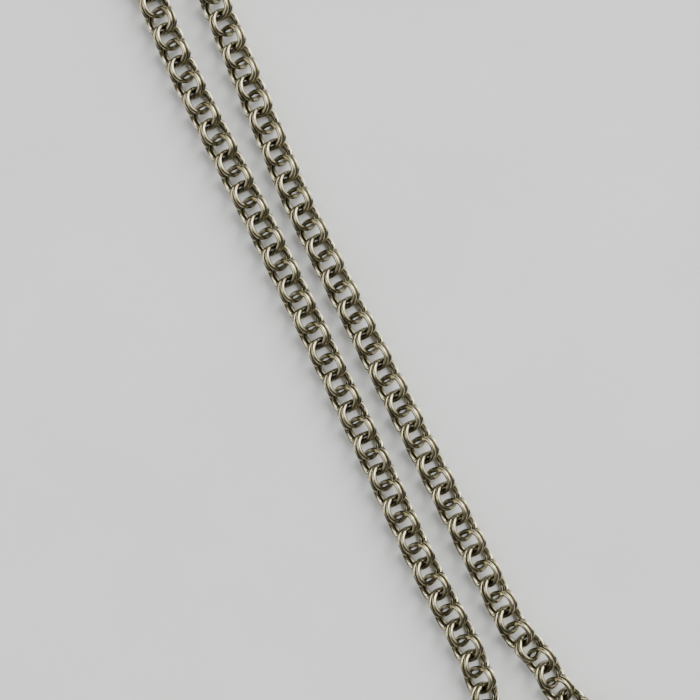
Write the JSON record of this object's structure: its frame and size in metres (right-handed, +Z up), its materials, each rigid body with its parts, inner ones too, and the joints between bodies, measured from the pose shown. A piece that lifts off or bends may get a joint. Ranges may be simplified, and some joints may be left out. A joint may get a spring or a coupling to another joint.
{
  "type": "chain necklace",
  "caption": "Open chain necklace of interlocked double wire links with filed faces, folded into two strands, with a sprung claw clasp at one end and a catch ring at the other",
  "frame": {"origin": "middle of the footprint, on the table that the necklace lies on", "axes": "+Z up from the table, +Y from the fold of the chain towards its two ends, +X from the left strand to the right strand"},
  "size_m": [0.0426, 0.268, 0.0052],
  "materials": {
    "silver": "oxidised silver, polished on the faces and dark in the gaps",
    "lever_silver": "polished silver",
    "steel": "bright steel"
  },
  "bodies": {
    "clasp": {"clasp_body": "silver", "clasp_pin": "steel", "clasp_spring": "steel"},
    "lever": {"clasp_lever": "lever_silver"},
    "clasp_ring": {"clasp_jump_ring": "silver"},
    "catch": {"catch_ring": "silver"},
    "end_ring": {"end_jump_ring": "silver"},
    "middle": {"chain_middle": "silver"},
    "left_01": {"chain_left_01": "silver"},
    "left_02": {"chain_left_02": "silver"},
    "left_03": {"chain_left_03": "silver"},
    "left_04": {"chain_left_04": "silver"},
    "left_05": {"chain_left_05": "silver"},
    "left_06": {"chain_left_06": "silver"},
    "left_07": {"chain_left_07": "silver"},
    "left_08": {"chain_left_08": "silver"},
    "left_09": {"chain_left_09": "silver"},
    "left_10": {"chain_left_10": "silver"},
    "left_11": {"chain_left_11": "silver"},
    "left_12": {"chain_left_12": "silver"},
    "left_13": {"chain_left_13": "silver"},
    "left_14": {"chain_left_14": "silver"},
    "left_15": {"chain_left_15": "silver"},
    "left_16": {"chain_left_16": "silver"},
    "left_17": {"chain_left_17": "silver"},
    "left_18": {"chain_left_18": "silver"},
    "left_19": {"chain_left_19": "silver"},
    "left_20": {"chain_left_20": "silver"},
    "left_21": {"chain_left_21": "silver"},
    "left_22": {"chain_left_22": "silver"},
    "left_23": {"chain_left_23": "silver"},
    "left_24": {"chain_left_24": "silver"},
    "left_25": {"chain_left_25": "silver"},
    "right_01": {"chain_right_01": "silver"},
    "right_02": {"chain_right_02": "silver"},
    "right_03": {"chain_right_03": "silver"},
    "right_04": {"chain_right_04": "silver"},
    "right_05": {"chain_right_05": "silver"},
    "right_06": {"chain_right_06": "silver"},
    "right_07": {"chain_right_07": "silver"},
    "right_08": {"chain_right_08": "silver"},
    "right_09": {"chain_right_09": "silver"},
    "right_10": {"chain_right_10": "silver"},
    "right_11": {"chain_right_11": "silver"},
    "right_12": {"chain_right_12": "silver"},
    "right_13": {"chain_right_13": "silver"},
    "right_14": {"chain_right_14": "silver"},
    "right_15": {"chain_right_15": "silver"},
    "right_16": {"chain_right_16": "silver"},
    "right_17": {"chain_right_17": "silver"},
    "right_18": {"chain_right_18": "silver"},
    "right_19": {"chain_right_19": "silver"},
    "right_20": {"chain_right_20": "silver"},
    "right_21": {"chain_right_21": "silver"},
    "right_22": {"chain_right_22": "silver"},
    "right_23": {"chain_right_23": "silver"},
    "right_24": {"chain_right_24": "silver"},
    "right_25": {"chain_right_25": "silver"}
  },
  "joints": [
    {"name": "lever_open", "type": "hinge", "parent": "clasp", "child": "lever", "pos_m": [-0.01242, 0.12499, 0.0018], "axis": [0, 0, 1], "range_deg": [0, 20], "stiffness_Nm_per_rad": 0.0004},
    {"name": "clasp_swing", "type": "hinge", "parent": "clasp_ring", "child": "clasp", "pos_m": [-0.01299, 0.11828, 0.0018], "axis": [0, 0, 1], "range_deg": [-30, 30]},
    {"name": "clasp_ring_swing", "type": "hinge", "parent": "left_25", "child": "clasp_ring", "pos_m": [-0.01277, 0.11404, 0.0023], "axis": [0, 0, 1], "range_deg": [-20, 20]},
    {"name": "catch_ring_lift", "type": "hinge", "parent": "end_ring", "child": "catch", "pos_m": [0.01427, 0.11759, 0.00256], "axis": [0.9466, -0.3223, 0], "range_deg": [0, 30]},
    {"name": "end_ring_swing", "type": "hinge", "parent": "right_25", "child": "end_ring", "pos_m": [0.0132, 0.11444, 0.0023], "axis": [0, 0, 1], "range_deg": [-20, 20]},
    {"name": "left_01_sideways", "type": "hinge", "parent": "middle", "child": "left_01", "pos_m": [-0.00283, -0.13112, 0.00258], "axis": [0, 0, 1], "range_deg": [0, 20]},
    {"name": "left_02_updown", "type": "hinge", "parent": "left_01", "child": "left_02", "pos_m": [-0.01201, -0.12694, 0.00258], "axis": [0.6461, 0.7632, 0], "range_deg": [-12, 12]},
    {"name": "left_03_sideways", "type": "hinge", "parent": "left_02", "child": "left_03", "pos_m": [-0.01765, -0.11857, 0.00258], "axis": [0, 0, 1], "range_deg": [0, 20]},
    {"name": "left_04_updown", "type": "hinge", "parent": "left_03", "child": "left_04", "pos_m": [-0.01809, -0.1085, 0.00258], "axis": [-0.9734, 0.2292, 0], "range_deg": [-12, 12]},
    {"name": "left_05_sideways", "type": "hinge", "parent": "left_04", "child": "left_05", "pos_m": [-0.01485, -0.09883, 0.00258], "axis": [0, 0, 1], "range_deg": [0, 10]},
    {"name": "left_06_updown", "type": "hinge", "parent": "left_05", "child": "left_06", "pos_m": [-0.01162, -0.08915, 0.00258], "axis": [-0.9483, 0.3173, 0], "range_deg": [-12, 12]},
    {"name": "left_07_sideways", "type": "hinge", "parent": "left_06", "child": "left_07", "pos_m": [-0.00898, -0.07931, 0.00258], "axis": [0, 0, 1], "range_deg": [0, 6]},
    {"name": "left_08_updown", "type": "hinge", "parent": "left_07", "child": "left_08", "pos_m": [-0.00818, -0.06916, 0.00258], "axis": [0.9999, 0.0131, 0], "range_deg": [-12, 12]},
    {"name": "left_09_sideways", "type": "hinge", "parent": "left_08", "child": "left_09", "pos_m": [-0.00863, -0.05897, 0.00258], "axis": [0, 0, 1], "range_deg": [0, 10]},
    {"name": "left_10_updown", "type": "hinge", "parent": "left_09", "child": "left_10", "pos_m": [-0.00884, -0.04877, 0.00258], "axis": [0.9999, -0.0131, 0], "range_deg": [-12, 12]},
    {"name": "left_11_sideways", "type": "hinge", "parent": "left_10", "child": "left_11", "pos_m": [-0.00861, -0.03857, 0.00258], "axis": [0, 0, 1], "range_deg": [0, 10]},
    {"name": "left_12_updown", "type": "hinge", "parent": "left_11", "child": "left_12", "pos_m": [-0.00843, -0.02838, 0.00258], "axis": [-0.9999, 0.0148, 0], "range_deg": [-12, 12]},
    {"name": "left_13_sideways", "type": "hinge", "parent": "left_12", "child": "left_13", "pos_m": [-0.0083, -0.01818, 0.00258], "axis": [0, 0, 1], "range_deg": [0, 10]},
    {"name": "left_14_updown", "type": "hinge", "parent": "left_13", "child": "left_14", "pos_m": [-0.00823, -0.00798, 0.00258], "axis": [-1, 0.0044, 0], "range_deg": [-12, 12]},
    {"name": "left_15_sideways", "type": "hinge", "parent": "left_14", "child": "left_15", "pos_m": [-0.00822, 0.00222, 0.00258], "axis": [0, 0, 1], "range_deg": [0, 10]},
    {"name": "left_16_updown", "type": "hinge", "parent": "left_15", "child": "left_16", "pos_m": [-0.00825, 0.01242, 0.00258], "axis": [1, 0.0061, 0], "range_deg": [-12, 12]},
    {"name": "left_17_sideways", "type": "hinge", "parent": "left_16", "child": "left_17", "pos_m": [-0.00834, 0.02262, 0.00258], "axis": [0, 0, 1], "range_deg": [0, 10]},
    {"name": "left_18_updown", "type": "hinge", "parent": "left_17", "child": "left_18", "pos_m": [-0.00848, 0.03282, 0.00258], "axis": [0.9999, 0.0166, 0], "range_deg": [-12, 12]},
    {"name": "left_19_sideways", "type": "hinge", "parent": "left_18", "child": "left_19", "pos_m": [-0.00868, 0.04302, 0.00258], "axis": [0, 0, 1], "range_deg": [0, 10]},
    {"name": "left_20_updown", "type": "hinge", "parent": "left_19", "child": "left_20", "pos_m": [-0.00877, 0.05322, 0.00258], "axis": [-0.9999, 0.0122, 0], "range_deg": [-12, 12]},
    {"name": "left_21_sideways", "type": "hinge", "parent": "left_20", "child": "left_21", "pos_m": [-0.00843, 0.06341, 0.00258], "axis": [0, 0, 1], "range_deg": [0, 10]},
    {"name": "left_22_updown", "type": "hinge", "parent": "left_21", "child": "left_22", "pos_m": [-0.00802, 0.0736, 0.00258], "axis": [-1, 0.0087, 0], "range_deg": [-12, 12]},
    {"name": "left_23_sideways", "type": "hinge", "parent": "left_22", "child": "left_23", "pos_m": [-0.00825, 0.0838, 0.00258], "axis": [0, 0, 1], "range_deg": [0, 10]},
    {"name": "left_24_updown", "type": "hinge", "parent": "left_23", "child": "left_24", "pos_m": [-0.00912, 0.09396, 0.00258], "axis": [0.9932, 0.1167, 0], "range_deg": [-12, 12]},
    {"name": "left_25_sideways", "type": "hinge", "parent": "left_24", "child": "left_25", "pos_m": [-0.01063, 0.10405, 0.00258], "axis": [0, 0, 1], "range_deg": [0, 10]},
    {"name": "right_01_sideways", "type": "hinge", "parent": "middle", "child": "right_01", "pos_m": [0.00718, -0.12989, 0.00258], "axis": [0, 0, -1], "range_deg": [0, 20]},
    {"name": "right_02_updown", "type": "hinge", "parent": "right_01", "child": "right_02", "pos_m": [0.01507, -0.12361, 0.00258], "axis": [0.8116, -0.5842, 0], "range_deg": [-12, 12]},
    {"name": "right_03_sideways", "type": "hinge", "parent": "right_02", "child": "right_03", "pos_m": [0.01852, -0.11413, 0.00258], "axis": [0, 0, -1], "range_deg": [0, 20]},
    {"name": "right_04_updown", "type": "hinge", "parent": "right_03", "child": "right_04", "pos_m": [0.01651, -0.10425, 0.00258], "axis": [-0.889, -0.4579, 0], "range_deg": [-12, 12]},
    {"name": "right_05_sideways", "type": "hinge", "parent": "right_04", "child": "right_05", "pos_m": [0.01005, -0.09641, 0.00258], "axis": [0, 0, -1], "range_deg": [0, 10]},
    {"name": "right_06_updown", "type": "hinge", "parent": "right_05", "child": "right_06", "pos_m": [0.00463, -0.0879, 0.00258], "axis": [-0.9576, -0.2882, 0], "range_deg": [-12, 12]},
    {"name": "right_07_sideways", "type": "hinge", "parent": "right_06", "child": "right_07", "pos_m": [0.0033, -0.07782, 0.00258], "axis": [0, 0, -1], "range_deg": [0, 6]},
    {"name": "right_08_updown", "type": "hinge", "parent": "right_07", "child": "right_08", "pos_m": [0.00154, -0.06786, 0.00258], "axis": [0.9998, 0.0175, 0], "range_deg": [-12, 12]},
    {"name": "right_09_sideways", "type": "hinge", "parent": "right_08", "child": "right_09", "pos_m": [0.00137, -0.05766, 0.00258], "axis": [0, 0, -1], "range_deg": [0, 10]},
    {"name": "right_10_updown", "type": "hinge", "parent": "right_09", "child": "right_10", "pos_m": [0.00119, -0.04746, 0.00258], "axis": [0.9998, 0.0175, 0], "range_deg": [-12, 12]},
    {"name": "right_11_sideways", "type": "hinge", "parent": "right_10", "child": "right_11", "pos_m": [0.00101, -0.03726, 0.00258], "axis": [0, 0, -1], "range_deg": [0, 10]},
    {"name": "right_12_updown", "type": "hinge", "parent": "right_11", "child": "right_12", "pos_m": [0.00083, -0.02707, 0.00258], "axis": [-0.9998, -0.0175, 0], "range_deg": [-12, 12]},
    {"name": "right_13_sideways", "type": "hinge", "parent": "right_12", "child": "right_13", "pos_m": [0.00065, -0.01687, 0.00258], "axis": [0, 0, -1], "range_deg": [0, 10]},
    {"name": "right_14_updown", "type": "hinge", "parent": "right_13", "child": "right_14", "pos_m": [0.00048, -0.00667, 0.00258], "axis": [-0.9998, -0.0175, 0], "range_deg": [-12, 12]},
    {"name": "right_15_sideways", "type": "hinge", "parent": "right_14", "child": "right_15", "pos_m": [0.0003, 0.00353, 0.00258], "axis": [0, 0, -1], "range_deg": [0, 10]},
    {"name": "right_16_updown", "type": "hinge", "parent": "right_15", "child": "right_16", "pos_m": [0.00012, 0.01373, 0.00258], "axis": [0.9998, 0.0175, 0], "range_deg": [-12, 12]},
    {"name": "right_17_sideways", "type": "hinge", "parent": "right_16", "child": "right_17", "pos_m": [0.00016, 0.02392, 0.00258], "axis": [0, 0, -1], "range_deg": [0, 10]},
    {"name": "right_18_updown", "type": "hinge", "parent": "right_17", "child": "right_18", "pos_m": [0.00076, 0.03411, 0.00258], "axis": [0.9978, -0.0663, 0], "range_deg": [-12, 12]},
    {"name": "right_19_sideways", "type": "hinge", "parent": "right_18", "child": "right_19", "pos_m": [0.00144, 0.04428, 0.00258], "axis": [0, 0, -1], "range_deg": [0, 10]},
    {"name": "right_20_updown", "type": "hinge", "parent": "right_19", "child": "right_20", "pos_m": [0.00211, 0.05446, 0.00258], "axis": [-0.9978, 0.0663, 0], "range_deg": [-12, 12]},
    {"name": "right_21_sideways", "type": "hinge", "parent": "right_20", "child": "right_21", "pos_m": [0.00279, 0.06464, 0.00258], "axis": [0, 0, -1], "range_deg": [0, 10]},
    {"name": "right_22_updown", "type": "hinge", "parent": "right_21", "child": "right_22", "pos_m": [0.00382, 0.07479, 0.00258], "axis": [-0.9919, 0.1271, 0], "range_deg": [-12, 12]},
    {"name": "right_23_sideways", "type": "hinge", "parent": "right_22", "child": "right_23", "pos_m": [0.00538, 0.08486, 0.00258], "axis": [0, 0, -1], "range_deg": [0, 10]},
    {"name": "right_24_updown", "type": "hinge", "parent": "right_23", "child": "right_24", "pos_m": [0.00747, 0.09485, 0.00258], "axis": [0.9732, -0.23, 0], "range_deg": [-12, 12]},
    {"name": "right_25_sideways", "type": "hinge", "parent": "right_24", "child": "right_25", "pos_m": [0.01007, 0.10471, 0.00258], "axis": [0, 0, -1], "range_deg": [0, 10]}
  ]
}
